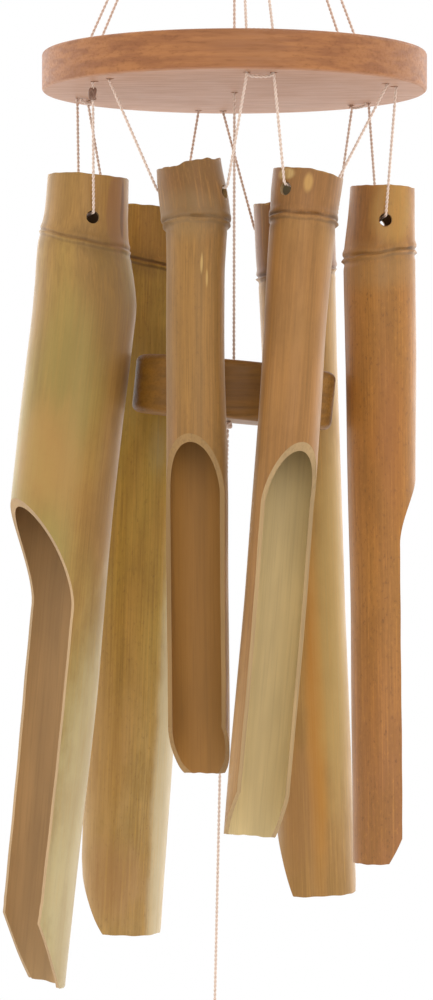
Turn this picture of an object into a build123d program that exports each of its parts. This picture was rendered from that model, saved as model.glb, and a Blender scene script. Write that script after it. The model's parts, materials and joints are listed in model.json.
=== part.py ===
from build123d import *
import os
from dataclasses import dataclass
from math import cos, hypot, radians, sin

# Wind chime: a wooden top plate hung on cords from a ring, six bamboo tubes each slung
# on a cord through its own cross hole, and a wooden striker and wind sail on a centre cord.
# Millimetres. +Z is up, +X is to the right and -Y is the front. The origin is the centre
# of the hanging ring, and everything else hangs below it.

# ---------------------------------------------------------------- driving dimensions
CORD_D = 1.0
CORD_R = CORD_D / 2
BODY_GAP = 0.35             # room left between pieces that move apart
STRAND_GAP = 0.6            # the same where a slung cord swings under the plate

RING_BORE_R = 8.0
RING_SECTION = 3.0          # ring thickness, both ways
RING_EDGE_OUT = 1.2
RING_EDGE_IN = 0.5

LOOP_R = 2.9                # centreline of the cord loop that goes round the ring
LOOP_WRAP = 66.0            # degrees of that loop each side of its top
LOOP_KNOT_R = 2.8
LOOP_KNOT_H = 5.0
LOOP_KNOT_Z = -17.6
GATHER_R = 4.0
GATHER_H = 9.0
GATHER_Z = -25.0
GATHER_SPREAD = 2.2         # how far from the middle each cord enters the gather knot

PLATE_R = 75.0
PLATE_T = 15.0
PLATE_TOP = -151.0
PLATE_BOT = PLATE_TOP - PLATE_T
PLATE_EDGE = 1.3
PAIR_R = 64.0               # circle of the six pairs of cord holes
PAIR_HALF = 5.0             # half the distance between the two holes of a pair
PAIR_FIRST = -81.7          # angle of the first pair
PAIR_COUNT = 6
PLATE_HOLE_R = 1.6
CORD_SIDE = 0.8             # two cords share a hole, this far each side of its centre
CORD_LIFT = CORD_R + 0.3    # centreline of a cord that lies along the plate
TIGHT_BEND = 1.2            # cord round the edge of a plate hole
HANGER_BEND = 3.6           # hanger cord turning inward above the plate
MOUTH_BEND = 1.0            # cord round the edge of a bamboo hole

CROSS_HOLE_R = 2.5
CROSS_HOLE_DROP = 1.7       # the tube hangs with the cord at the top of its hole
MOUTH_CLEAR = CORD_R + 0.5  # cord centreline outside the bamboo at the hole
NODE_BUMP = 0.9
NODE_WALL = 1.5             # half the thickness of the wall inside a bamboo joint
ARCH_STEPS = 8              # points that draw the curve where a channel starts

STRIKER_R = 39.0
STRIKER_T = 22.5
STRIKER_EDGE = 3.0
STRIKER_TILT = 5.5
STRIKER_AT = (-0.2, 0.0, -283.0)
STRIKER_HOLE_X = -1.1       # the hole is off centre, which is why the striker hangs tilted
STRIKER_HOLE_R = 1.5
BEND_LENGTH = 4.0           # short length over which a hanging cord bends
STRIKER_KNOT_R = 1.9
STRIKER_KNOT_H = 3.2

SAIL_KNOT_AT = (-7.7, 0.0, -524.2)
SAIL_KNOT_R = 1.8
SAIL_KNOT_H = 3.0
SAIL_W = 90.0
SAIL_H = 58.0
SAIL_T = 5.0
SAIL_CORNER = 14.0
SAIL_HOLE_R = 2.0
SAIL_LOOP_GAP = 0.5          # loop cord to the sail, at the face and in the hole
SAIL_HOLE_BELOW_KNOT = 8.5
SAIL_HOLE_EDGE = 5.5        # hole centre to the top edge of the sail


@dataclass
class Bamboo:
    """One bamboo tube. Lengths are from its cross hole; s runs down the tube."""
    name: str
    place: float        # angle round the plate
    hole: tuple         # where the cord crosses the tube
    hole_turn: float    # direction of the cross hole
    lean: tuple         # degrees the foot leans to the right or left, and to the back
    facing: float       # direction of the open channel
    top: float          # cross hole to top end
    node: float         # cross hole to the joint
    foot: float         # cross hole to foot
    radii: tuple        # (s, radius) of the outside, from the top down
    wall: float
    arch: tuple         # s where the channel starts and is at full depth, and its curve
    depth: float        # channel face to the tube's axis
    trim: float         # height of the slant cut at the foot
    bite: float         # how far past the axis that cut goes, as a share of the radius


TUBES = [
    Bamboo("left", 188.3, (-57.5, -8.2, -214.8), 281.5, (4.9, -0.7), 208, 17, 8, 298,
           ((-17, 15.2), (3, 16.4), (8, 18.0), (33, 20.2), (183, 20.0), (298, 17.5)),
           3.0, (111, 152, 1.55), 1.0, 25, 0.58),
    Bamboo("back_left", 128.3, (-36.2, 47.3, -214.9), 218.3, (1.9, 1.0), 118, 8, 15, 287,
           ((-8, 16.5), (15, 17.0), (52, 18.0), (200, 18.4), (287, 17.2)),
           3.0, (112, 152, 1.6), 1.2, 25, 0.64),
    Bamboo("front_left", 248.3, (-16.1, -55.1, -208.7), 338.3, (-0.7, -0.6), 256, 9, 14, 219,
           ((-9, 12.4), (10, 13.2), (17, 11.4), (50, 11.0), (115, 11.7), (219, 11.7)),
           3.0, (91, 113, 1.4), 3.0, 18, 0.74),
    Bamboo("front_right", 308.3, (26.9, -50.8, -208.9), 52.0, (4.6, -5.0), 300, 6, 13, 242,
           ((-6, 13.3), (9, 12.4), (17, 12.3), (54, 11.6), (242, 11.8)),
           3.0, (95, 119, 1.4), 3.2, 16, 0.36),
    Bamboo("back_right", 68.3, (24.8, 54.1, -214.5), 158.3, (-2.0, 0.4), 110, 10, 15, 270,
           ((-10, 16.5), (13, 16.2), (50, 15.2), (270, 15.5)),
           3.0, (110, 150, 1.6), 1.0, 27, 0.52),
    Bamboo("right", 8.3, (57.8, 7.8, -214.6), 94.0, (-0.5, -1.1), 27, 12, 15, 252,
           ((-12, 12.5), (10, 13.6), (14, 13.9), (48, 13.6), (103, 13.2), (252, 12.8)),
           3.0, (99, 128, 1.7), 0.0, 10, 0.41),
]


# ---------------------------------------------------------------- helpers
def polar(angle, radius, along=0.0, z=0.0):
    """A point at an angle and radius round +Z, moved along the tangent there."""
    c, s = cos(radians(angle)), sin(radians(angle))
    return (radius * c - along * s, radius * s + along * c, z)


def blend(a, b, share):
    """The point a share of the way from a to b."""
    return tuple(p + (q - p) * share for p, q in zip(a, b))


def away(a, b, distance):
    """The point at a distance from a towards b."""
    length = (Vector(b) - Vector(a)).length
    return blend(a, b, distance / length)


def tilted(vector, lean):
    """A vector after the tube's lean: side lean about Y first, then back lean about X."""
    side, back = radians(lean[0]), radians(lean[1])
    x = vector[0] * cos(side) + vector[2] * sin(side)
    z = -vector[0] * sin(side) + vector[2] * cos(side)
    return (x, vector[1] * cos(back) - z * sin(back), vector[1] * sin(back) + z * cos(back))


def cord(points, bends=()):
    """A round cord along straight runs joined by tangent arcs."""
    path = FilletPolyline(*points, radius=list(bends)) if bends else Line(*points)
    section = Plane(origin=path @ 0, z_dir=path % 0) * Circle(CORD_R)
    solid = sweep(section, path=path)
    section_area = 3.141593 * CORD_R ** 2
    print(f"  cord {path.length:.1f} mm, bends {list(bends)},",
          f"volume / (section x length) = {solid.volume / section_area / path.length:.4f}")
    return solid


def knot(radius, height, at):
    """A knot as a round-ended barrel."""
    barrel = Cylinder(radius, height)
    ends = barrel.edges().filter_by(GeomType.CIRCLE)
    return Pos(*at) * fillet(ends, 0.45 * min(2 * radius, height))


def write(name, solid):
    """Names a solid and writes its STEP file."""
    solid.label = name
    export_step(solid, f"parts/{name}.step")


# ---------------------------------------------------------------- hanging ring and knots
def hanging_ring():
    """Round ring with a flat inner band. Its axis runs front to back."""
    middle = RING_BORE_R + RING_SECTION / 2
    section = Pos(middle, 0) * Rectangle(RING_SECTION, RING_SECTION)
    corners = section.vertices().sort_by(Axis.X)
    section = fillet(corners[2:], RING_EDGE_OUT)
    section = fillet(section.vertices().sort_by(Axis.X)[:2], RING_EDGE_IN)
    return Rot(X=90) * revolve(Plane.XZ * section, Axis.Z)


def ring_loop():
    """The bend of cord over the ring's wire, in the plane across the wire."""
    z = -(RING_BORE_R + RING_SECTION / 2)
    wire = Plane(origin=(0, 0, z), x_dir=(0, 1, 0), z_dir=(1, 0, 0))
    path = wire * CenterArc((0, 0), LOOP_R, 90 - LOOP_WRAP, 2 * LOOP_WRAP)
    section = Plane(origin=path @ 0, z_dir=path % 0) * Circle(CORD_R)
    return sweep(section, path=path)


def loop_leg(side):
    """One of the two legs from the loop down into the loop knot."""
    z = -(RING_BORE_R + RING_SECTION / 2)
    return cord([(0, side * LOOP_R, z), (0, side * CORD_D * 1.2, LOOP_KNOT_Z)])


# ---------------------------------------------------------------- top plate and its cords
def pair_angle(index):
    return PAIR_FIRST + index * 360 / PAIR_COUNT


def plate_hole(index, side, offset=0.0, z=0.0):
    """A hole of a pair: side -1 or +1 is clockwise or anticlockwise seen from above."""
    return polar(pair_angle(index), PAIR_R + offset, side * PAIR_HALF, z)


def top_plate():
    """Round wooden plate with a centre hole and six pairs of cord holes."""
    middle = (PLATE_TOP + PLATE_BOT) / 2
    plate = Cylinder(PLATE_R, PLATE_T)
    plate = fillet(plate.edges().filter_by(GeomType.CIRCLE), PLATE_EDGE)
    plate = Pos(0, 0, middle) * plate
    drill = Cylinder(PLATE_HOLE_R, PLATE_T + 2)
    plate -= Pos(0, 0, middle) * drill
    for index in range(PAIR_COUNT):
        for side in (-1, 1):
            plate -= Pos(*plate_hole(index, side, z=middle)) * drill
    return plate


def hanger_cord(index):
    """Doubled cord: from the gather knot down one hole, under the plate and back up."""
    under = PLATE_BOT - CORD_LIFT
    over = PLATE_TOP + 0.3
    ends = [polar(pair_angle(index), GATHER_SPREAD, side * CORD_D, GATHER_Z) for side in (-1, 1)]
    left = [plate_hole(index, -1, -CORD_SIDE, z) for z in (over, under)]
    right = [plate_hole(index, 1, -CORD_SIDE, z) for z in (under, over)]
    return cord([ends[0], *left, *right, ends[1]],
                [HANGER_BEND, TIGHT_BEND, TIGHT_BEND, HANGER_BEND])


def top_stitch(index):
    """Tube cord over the plate from one hole of a pair to the other."""
    over = PLATE_TOP + CORD_LIFT
    points = [plate_hole(index, -1, CORD_SIDE, PLATE_BOT), plate_hole(index, -1, CORD_SIDE, over),
              plate_hole(index, 1, CORD_SIDE, over), plate_hole(index, 1, CORD_SIDE, PLATE_BOT)]
    return cord(points, [TIGHT_BEND, TIGHT_BEND])


# ---------------------------------------------------------------- bamboo tubes
def tube_pairs(tube):
    """The two pairs of plate holes that a tube hangs between."""
    first = round((tube.place - 30 - PAIR_FIRST) / 60) % PAIR_COUNT
    return first, (first + 1) % PAIR_COUNT


def radius_at(tube, s):
    """Outside radius of a tube at s below its cross hole."""
    for (s0, r0), (s1, r1) in zip(tube.radii, tube.radii[1:]):
        if s <= s1:
            return r0 + (r1 - r0) * (s - s0) / (s1 - s0)
    return tube.radii[-1][1]


def hole_direction(tube):
    """Unit vector along the cross hole of the hanging tube."""
    return tilted(polar(tube.hole_turn, 1.0), tube.lean)


def bamboo_outside(tube):
    """Tube without its bore: the tapering outside with a raised ring at the joint."""
    outline = [(r, -s) for s, r in tube.radii if abs(s - tube.node) > 2.5]
    ring = [(radius_at(tube, tube.node + ds) + bump, -(tube.node + ds))
            for ds, bump in ((-2.2, 0.0), (-0.8, NODE_BUMP), (0.9, NODE_BUMP), (2.4, 0.0))]
    outline = sorted(outline + ring, key=lambda point: -point[1])
    face = Polyline((0, outline[0][1]), *outline, (0, outline[-1][1]), close=True)
    return revolve(Plane.XZ * make_face(face), Axis.Z)


def bamboo_bore(tube, s_from, s_to):
    """The hollow between two heights, one wall inside the outside."""
    inner = [(radius_at(tube, s) - tube.wall, -s)
             for s in (s_from, *[s for s, r in tube.radii if s_from < s < s_to], s_to)]
    face = Polyline((0, -s_from), *inner, (0, -s_to), close=True)
    return revolve(Plane.XZ * make_face(face), Axis.Z)


def channel_cut(tube):
    """The half-cut lower part: an arch that eases into a flat face, and a slant foot."""
    start, full, curve = tube.arch
    outside = radius_at(tube, start) + 0.2
    foot_r = radius_at(tube, tube.foot)
    far = outside + 8
    below = -(tube.foot + 4)
    slope = (tube.bite * foot_r + tube.depth) / tube.trim
    end = (tube.depth - slope * (tube.trim + 4), below)
    shares = [k / ARCH_STEPS for k in range(ARCH_STEPS + 1)]
    arch = Spline(*[(tube.depth + (outside - tube.depth) * share ** curve,
                     -(full + (start - full) * share)) for share in shares])
    rest = Polyline((outside, -start), (far, -start), (far, below), end,
                    (tube.depth, tube.trim - tube.foot), (tube.depth, -full))
    side_view = make_face(arch + rest)
    return extrude(Plane.XZ * side_view, amount=outside + 5, both=True)


def bamboo(tube):
    """Bamboo tube: open top cup, wall at the joint, and the cut resonator below it."""
    solid = bamboo_outside(tube)
    solid -= bamboo_bore(tube, -tube.top, tube.node - NODE_WALL)
    solid -= bamboo_bore(tube, tube.node + NODE_WALL, tube.foot)
    drill = Rot(Z=tube.hole_turn - tube.facing) * Rot(Y=90) * Cylinder(CROSS_HOLE_R, 60)
    solid -= Pos(0, 0, -CROSS_HOLE_DROP) * drill
    solid -= channel_cut(tube)
    return Pos(*tube.hole) * Rot(tube.lean[1], tube.lean[0], 0) * Rot(Z=tube.facing) * solid


def mouths(tube):
    """Where the cord turns up outside each end of the cross hole."""
    reach = radius_at(tube, 0) + MOUTH_CLEAR
    along = Vector(*hole_direction(tube))
    middle = Vector(*tube.hole)
    return [tuple(middle + along * (side * reach)) for side in (-1, 1)]


def tube_cord(tube):
    """Cord from one plate hole down through the tube and up to the next pair's hole."""
    first, second = tube_pairs(tube)
    top = PLATE_BOT - STRAND_GAP
    start = plate_hole(first, 1, CORD_SIDE, top)
    end = plate_hole(second, -1, CORD_SIDE, top)
    return cord([start, *mouths(tube), end], [MOUTH_BEND, MOUTH_BEND])


# ---------------------------------------------------------------- centre cord, striker, sail
def striker_point(x, z):
    """A point of the tilted striker, from its middle, in its own plane across the front."""
    tilt = radians(STRIKER_TILT)
    cx, cy, cz = STRIKER_AT
    return (cx + x * cos(tilt) + z * sin(tilt), cy, cz - x * sin(tilt) + z * cos(tilt))


def striker():
    """Thick round wooden striker with a small cord hole, hanging a little tilted."""
    puck = Cylinder(STRIKER_R, STRIKER_T)
    puck = fillet(puck.edges().filter_by(GeomType.CIRCLE), STRIKER_EDGE)
    puck -= Pos(STRIKER_HOLE_X, 0, 0) * Cylinder(STRIKER_HOLE_R, STRIKER_T + 2)
    return Pos(*STRIKER_AT) * Rot(Y=STRIKER_TILT) * puck


def sail():
    """Flat wooden wind sail with rounded corners and a hole near its top edge."""
    blank = RectangleRounded(SAIL_W, SAIL_H, SAIL_CORNER)
    plate = extrude(Plane.XZ * blank, amount=SAIL_T / 2, both=True)
    plate = fillet(plate.edges().filter_by(Plane.XZ), 0.8)
    hole_z = SAIL_H / 2 - SAIL_HOLE_EDGE
    plate -= Pos(0, 0, hole_z) * Rot(X=90) * Cylinder(SAIL_HOLE_R, SAIL_T + 2)
    x, y, z = SAIL_KNOT_AT
    return Pos(x, y, z - SAIL_HOLE_BELOW_KNOT - hole_z) * plate


def sail_loop():
    """Cord from the sail knot down the front, through the sail and up the back."""
    x, y, z = SAIL_KNOT_AT
    reach = SAIL_T / 2 + CORD_R + SAIL_LOOP_GAP
    hole = z - SAIL_HOLE_BELOW_KNOT + SAIL_HOLE_R - CORD_R - SAIL_LOOP_GAP
    front = [(x, y - 0.8, z), (x, y - reach, z - 3.6), (x, y - reach, hole)]
    back = [(x, y + reach, hole), (x, y + reach, z - 3.6), (x, y + 0.8, z)]
    return cord(front + back, [MOUTH_BEND] * 4)


# ---------------------------------------------------------------- the whole chime
write("hanging_ring", hanging_ring())
write("ring_loop", ring_loop())
for name, side in (("front", -1), ("back", 1)):
    write(f"loop_leg_{name}", loop_leg(side))
write("loop_knot", knot(LOOP_KNOT_R, LOOP_KNOT_H, (0, 0, LOOP_KNOT_Z)))
write("gather_knot", knot(GATHER_R, GATHER_H, (0, 0, GATHER_Z)))

write("top_plate", top_plate())
for name, index in (("front", 0), ("right", 2), ("left", 4)):
    write(f"hanger_cord_{name}", hanger_cord(index))
for index in range(PAIR_COUNT):
    write(f"top_stitch_{index + 1}", top_stitch(index))
write("centre_cord_upper", cord([(0, 0, GATHER_Z), (0, 0, PLATE_BOT)]))

for tube in TUBES:
    write(f"bamboo_{tube.name}", bamboo(tube))
    write(f"tube_cord_{tube.name}", tube_cord(tube))
left = TUBES[0]
knot_top = plate_hole(tube_pairs(left)[1], -1, CORD_SIDE, PLATE_BOT - STRAND_GAP)
knot_at = away(knot_top, mouths(left)[1], 4.5)
write("tie_knot", knot(1.5, 5.0, knot_at))

bend_top = (0, 0, PLATE_BOT - BODY_GAP)
cord_top = striker_point(STRIKER_HOLE_X, STRIKER_T / 2)
cord_foot = striker_point(STRIKER_HOLE_X, -STRIKER_T / 2)
bend_foot = away(bend_top, cord_top, BEND_LENGTH)
write("striker_cord_bend", cord([bend_top, bend_foot]))
write("striker_cord", cord([away(bend_foot, cord_top, BODY_GAP), away(cord_top, bend_foot, BODY_GAP)]))
write("striker", striker())
write("striker_core_cord", cord([cord_top, cord_foot]))
knot_at = away(cord_foot, cord_top, -STRIKER_KNOT_H / 2)
write("striker_knot", knot(STRIKER_KNOT_R, STRIKER_KNOT_H, knot_at))

bend_top = away(cord_foot, cord_top, -STRIKER_KNOT_H - BODY_GAP)
sail_top = (SAIL_KNOT_AT[0], SAIL_KNOT_AT[1], SAIL_KNOT_AT[2] + SAIL_KNOT_H / 2 + BODY_GAP)
bend_foot = away(bend_top, sail_top, BEND_LENGTH)
write("sail_cord_bend", cord([bend_top, bend_foot]))
write("sail_cord", cord([away(bend_foot, sail_top, BODY_GAP), sail_top]))
write("sail_knot", knot(SAIL_KNOT_R, SAIL_KNOT_H, SAIL_KNOT_AT))
write("sail_loop", sail_loop())
write("sail", sail())
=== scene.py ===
"""Looks for the wind chime: cords of twisted twine, cut bamboo tubes, wooden plate, striker and sail."""
import json
from dataclasses import dataclass
from math import cos, pi, radians, sin

import bmesh
import bpy
import numpy as np
from bpy.props import FloatProperty, FloatVectorProperty, PointerProperty
from mathutils import Matrix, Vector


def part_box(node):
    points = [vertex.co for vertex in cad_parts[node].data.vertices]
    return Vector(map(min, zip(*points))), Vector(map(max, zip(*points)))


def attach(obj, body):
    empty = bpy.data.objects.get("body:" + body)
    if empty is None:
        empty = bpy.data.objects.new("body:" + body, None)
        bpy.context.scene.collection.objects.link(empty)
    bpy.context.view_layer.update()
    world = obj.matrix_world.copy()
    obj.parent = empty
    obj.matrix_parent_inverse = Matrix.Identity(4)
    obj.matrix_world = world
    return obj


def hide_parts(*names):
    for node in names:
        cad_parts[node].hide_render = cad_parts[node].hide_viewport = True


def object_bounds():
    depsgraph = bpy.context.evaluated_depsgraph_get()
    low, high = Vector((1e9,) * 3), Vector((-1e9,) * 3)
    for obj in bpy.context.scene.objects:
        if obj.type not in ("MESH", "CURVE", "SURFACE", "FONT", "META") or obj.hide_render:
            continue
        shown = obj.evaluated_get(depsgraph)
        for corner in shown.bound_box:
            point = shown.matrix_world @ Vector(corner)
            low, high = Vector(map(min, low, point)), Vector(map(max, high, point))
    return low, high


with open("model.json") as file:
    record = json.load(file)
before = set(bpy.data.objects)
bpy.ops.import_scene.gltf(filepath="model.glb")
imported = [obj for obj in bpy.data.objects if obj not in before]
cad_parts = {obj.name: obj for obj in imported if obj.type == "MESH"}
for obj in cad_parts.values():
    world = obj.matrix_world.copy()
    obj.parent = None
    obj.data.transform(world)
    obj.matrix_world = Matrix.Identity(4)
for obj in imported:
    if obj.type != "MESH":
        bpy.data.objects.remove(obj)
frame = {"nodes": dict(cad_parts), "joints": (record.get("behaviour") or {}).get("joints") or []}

bl_info = {
    "name": "Bamboo wind chime",
    "version": (1, 0, 0),
    "blender": (4, 5, 0),
    "location": "View3D > Sidebar > Chime",
    "description": "Builds the cords, bamboo tubes and wooden pieces of a hanging wind chime",
    "category": "Add Mesh",
}

CAD_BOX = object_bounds()
JOINTS = {joint["name"]: joint for joint in frame["joints"]}
MM = 0.001

# ------------------------------------------------------------------ sizes shared with the CAD model
CORD_R = 0.5 * MM
RING_MIDDLE = 9.5 * MM          # ring centre to the middle of its wire
LOOP_R = 2.9 * MM
LOOP_KNOT_Z = -17.6 * MM
GATHER_Z = -25.0 * MM
GATHER_SPREAD = 2.2 * MM
PLATE_BOTTOM, PLATE_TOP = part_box("top_plate")[0].z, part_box("top_plate")[1].z
PAIR_R = 64.0 * MM
PAIR_HALF = 5.0 * MM
PAIR_FIRST = -81.7
PAIR_COUNT = 6
CORD_SIDE = 0.8 * MM
CORD_LIFT = 0.8 * MM
STRAND_GAP = 0.6 * MM
MOUTH_CLEAR = 1.0 * MM
SIX_DIAMETERS = 12 * CORD_R
CORD_TURN = 2.4 * MM             # how far before a bend the route starts to turn
TWINE_STEP = 0.42 * MM          # between rings of a ply


@dataclass
class Tube:
    """One bamboo tube, in millimetres and degrees. s runs down the tube from its cross hole."""
    name: str
    place: float
    lean: tuple
    facing: float
    top: float
    node: float
    foot: float
    radii: tuple
    arch: tuple             # where the channel starts and is at full depth, and its curve
    depth: tuple            # channel face to the axis, at full depth and at the foot
    trim: float
    bite: float
    bend: tuple             # (s, how far the axis stands to the right of a straight one)
    node_slope: tuple       # how far the joint's ring is out of level, and the low side
    top_slope: tuple        # how far the sawn top is out of level, and the high side
    ragged: float           # unevenness of the sawn top
    ridge: float            # size of the joint's ring
    seed: int
    wall: float             # wall thickness at the cut edges


TUBES = [
    Tube("left", 188.3, (4.9, -0.7), 207, 14.9, 10.2, 298,
         ((-17, 15.7), (0, 16.3), (7, 17.2), (12, 18.0), (20, 19.0), (33, 20.2), (183, 20.0), (298, 17.9)),
         (111, 152, 1.55), (0.2, 1.7), 25, 0.58,
         ((-17, -0.6), (0, 0.1), (10, -0.5), (20, 0.9), (33, 2.6), (72, 1.3), (111, 0.3), (189, 0.2),
          (298, -0.3)),
         (2.9, -25), (0.3, 0), 0.25, 0.55, 11, 2.3),
    Tube("back_left", 128.3, (1.9, 1.0), 118, 8, 15, 284.5,
         ((-8, 16.5), (15, 17.0), (52, 18.0), (120, 18.6), (200, 18.8), (287, 16.8)),
         (112, 152, 1.6), (1.2, 1.2), 22, 0.64, ((-8, 0.0), (200, 0.1), (287, -0.8)),
         (2.4, 0), (0.5, 180), 0.4, 0.8, 23, 2.6),
    Tube("front_left", 248.3, (-0.7, -0.6), 256, 9, 14, 219,
         ((-9, 12.3), (0, 13.1), (10, 13.3), (17, 11.5), (30, 11.0), (70, 11.0), (115, 11.7), (219, 11.6)),
         (91, 113, 1.4), (3.0, 3.0), 18, 0.74,
         ((-9, -1.5), (0, 0.2), (13, 1.6), (30, 0.9), (60, 0.5), (115, 0.4), (219, 0.0)),
         (2.2, 90), (2.1, 0), 0.7, 0.8, 31, 1.7),
    Tube("front_right", 308.3, (4.6, -5.0), 300, 6, 12, 242,
         ((-6, 13.2), (0, 13.1), (9, 12.5), (17, 12.2), (54, 11.5), (120, 11.8), (242, 11.7)),
         (95, 119, 1.4), (3.2, 3.2), 16, 0.36,
         ((-6, 0.1), (0, -0.5), (19, -0.6), (37, -0.5), (79, 0.2), (154, 0.6), (229, -0.1)),
         (0.8, 90), (0.8, 180), 0.3, 0.8, 47, 1.6),
    Tube("back_right", 68.3, (-2.0, 0.4), 110, 10, 19, 270,
         ((-10, 16.5), (13, 16.3), (24, 15.6), (50, 15.1), (200, 15.3), (270, 15.9)),
         (110, 150, 1.6), (1.0, 1.0), 25, 0.52, ((-10, 0.0), (200, 0.0), (270, -0.4)),
         (1.5, 180), (0.4, 0), 0.4, 0.8, 59, 2.4),
    Tube("right", 8.3, (-0.5, -1.1), 27, 12, 15, 252,
         ((-12, 12.5), (0, 13.0), (10, 13.7), (15, 14.0), (51, 13.9), (103, 13.3), (252, 12.8)),
         (99, 128, 1.7), (0.0, 0.0), 10, 0.41,
         ((-12, 0.4), (0, -0.2), (14, -1.1), (51, -0.9), (103, -0.9), (150, -0.5), (252, -0.7)),
         (1.7, 180), (0.4, 180), 0.25, 0.9, 71, 2.2),
]
NODE_WALL = 1.5
CROSS_HOLE_R = 2.5
CROSS_HOLE_DROP = 1.7
FAR_FROM_JOINT = 0.05           # distance stored on faces that show no joint lines
S_FROM, S_TO, S_STEP = -40.0, 340.0, 0.5    # table of s that smooth curves are made on
CUT, BORE = 1, 2                # material slots after the skin: cut faces, and the hollow inside

STRIKER_AT = np.array((-0.2, 0.0, -283.0)) * MM
STRIKER_TILT = radians(5.5)
STRIKER_HALF = 11.25 * MM
STRIKER_HOLE_X = -1.1 * MM
BEND_LENGTH = 4.0 * MM
SAIL_KNOT_AT = np.array((-7.7, 0.0, -524.2)) * MM
SAIL_HOLE_BELOW = 8.0 * MM      # sail knot to the loop's lowest run


# ------------------------------------------------------------------ places
def polar(angle, radius, along=0.0, z=0.0):
    """Point at an angle and radius round +Z, moved along the tangent there."""
    c, s = cos(radians(angle)), sin(radians(angle))
    return np.array((radius * c - along * s, radius * s + along * c, z))


def toward(a, b, distance):
    """Point at a distance from a towards b."""
    a, b = np.asarray(a, float), np.asarray(b, float)
    return a + (b - a) * (distance / np.linalg.norm(b - a))


def plate_hole(index, side, offset=0.0, z=0.0):
    """Hole of a pair in the plate, side -1 or +1."""
    return polar(PAIR_FIRST + index * 360 / PAIR_COUNT, PAIR_R + offset, side * PAIR_HALF, z)


def tube_pairs(tube):
    """The two pairs of plate holes that a tube hangs between."""
    first = round((tube.place - 30 - PAIR_FIRST) / 60) % PAIR_COUNT
    return first, (first + 1) % PAIR_COUNT


def tube_joint(tube):
    return JOINTS[f"{tube.name}_tube_rock"]


def tube_matrix(tube):
    """The tube's own frame in the row frame: turned to face and leaned."""
    turn = Matrix.Rotation(radians(tube.facing), 3, "Z")
    side = Matrix.Rotation(radians(tube.lean[0]), 3, "Y")
    back = Matrix.Rotation(radians(tube.lean[1]), 3, "X")
    return np.array(back @ side @ turn)


def smoothed(stops, s, width):
    """Values given at a few s, joined by straight lines and softened by a bell curve of a given width."""
    at = np.arange(S_FROM, S_TO, S_STEP)
    line = np.interp(at, [p[0] for p in stops], [p[1] for p in stops])
    reach = np.arange(-3 * width, 3 * width + S_STEP / 2, S_STEP)
    bell = np.exp(-0.5 * (reach / width) ** 2)
    padded = np.pad(line, len(reach) // 2, mode="edge")
    return np.interp(s, at, np.convolve(padded, bell / bell.sum(), mode="valid")[:len(at)])


def outside_radius(tube, s):
    """Smooth radius of the skin at s, in millimetres."""
    return smoothed(tube.radii, s, 1.5)


def mouths(tube):
    """Where the cord turns up, outside each end of the cross hole."""
    joint = tube_joint(tube)
    along, middle = np.array(joint["axis"]), np.array(joint["pos_m"])
    reach = float(outside_radius(tube, 0)) * MM + MOUTH_CLEAR
    return [middle - along * reach, middle + along * reach]


# ------------------------------------------------------------------ mesh helpers
def grid_faces(rows, columns, start=0):
    """Quads of a grid of rows x columns points."""
    r, c = np.meshgrid(np.arange(rows - 1), np.arange(columns - 1), indexing="ij")
    a = start + (r * columns + c).ravel()
    return np.stack([a, a + 1, a + columns + 1, a + columns], 1)


class Surface:
    """Collects grids of points into one mesh, with a grain position and a number at each point."""

    def __init__(self):
        self.points, self.faces, self.grain, self.value, self.slots = [], [], [], [], []
        self.count = 0

    def add(self, points, grain=None, value=0.0, slot=0):
        """points: rows x columns x 3, in metres. slot is the material of these faces."""
        rows, columns = points.shape[:2]
        faces = grid_faces(rows, columns, self.count)
        self.faces.append(faces)
        self.slots.append(np.full(len(faces), slot))
        self.points.append(points.reshape(-1, 3))
        self.grain.append((points if grain is None else grain).reshape(-1, 3))
        self.value.append(np.broadcast_to(value, (rows, columns)).ravel())
        self.count += rows * columns

    def mesh(self, name, merge=1e-6, sharp=40.0):
        points, faces = np.concatenate(self.points), np.concatenate(self.faces)
        mesh = bpy.data.meshes.new(name)
        mesh.from_pydata(points.tolist(), [], faces.tolist())
        mesh.polygons.foreach_set("material_index", np.concatenate(self.slots))
        grain = mesh.attributes.new("grain", "FLOAT_VECTOR", "POINT")
        grain.data.foreach_set("vector", np.concatenate(self.grain).ravel())
        value = mesh.attributes.new("value", "FLOAT", "POINT")
        value.data.foreach_set("value", np.concatenate(self.value))
        shell = bmesh.new()
        shell.from_mesh(mesh)
        bmesh.ops.remove_doubles(shell, verts=shell.verts, dist=merge)
        bmesh.ops.dissolve_degenerate(shell, edges=shell.edges, dist=merge)
        bmesh.ops.recalc_face_normals(shell, faces=shell.faces)
        shell.to_mesh(mesh)
        shell.free()
        mesh.shade_smooth()
        mesh.set_sharp_from_angle(angle=radians(sharp))
        return mesh


def link(name, data):
    piece = bpy.data.objects.new(name, data)
    bpy.context.scene.collection.objects.link(piece)
    return piece


# ------------------------------------------------------------------ cords
def spline_points(name, route):
    """Points along the smooth NURBS curve whose control points are the route."""
    data = bpy.data.curves.new(name, "CURVE")
    data.dimensions = "3D"
    data.resolution_u = 16
    spline = data.splines.new("NURBS")
    spline.points.add(len(route) - 1)
    spline.points.foreach_set("co", [x for p in route for x in (*p, 1.0)])
    spline.order_u = 3
    spline.use_endpoint_u = True
    curve = link(name, data)
    bpy.context.view_layer.update()
    line = bpy.data.meshes.new_from_object(curve.evaluated_get(bpy.context.evaluated_depsgraph_get()))
    points = np.zeros(len(line.vertices) * 3)
    line.vertices.foreach_get("co", points)
    bpy.data.objects.remove(curve)
    bpy.data.curves.remove(data)
    bpy.data.meshes.remove(line)
    return points.reshape(-1, 3)


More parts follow.
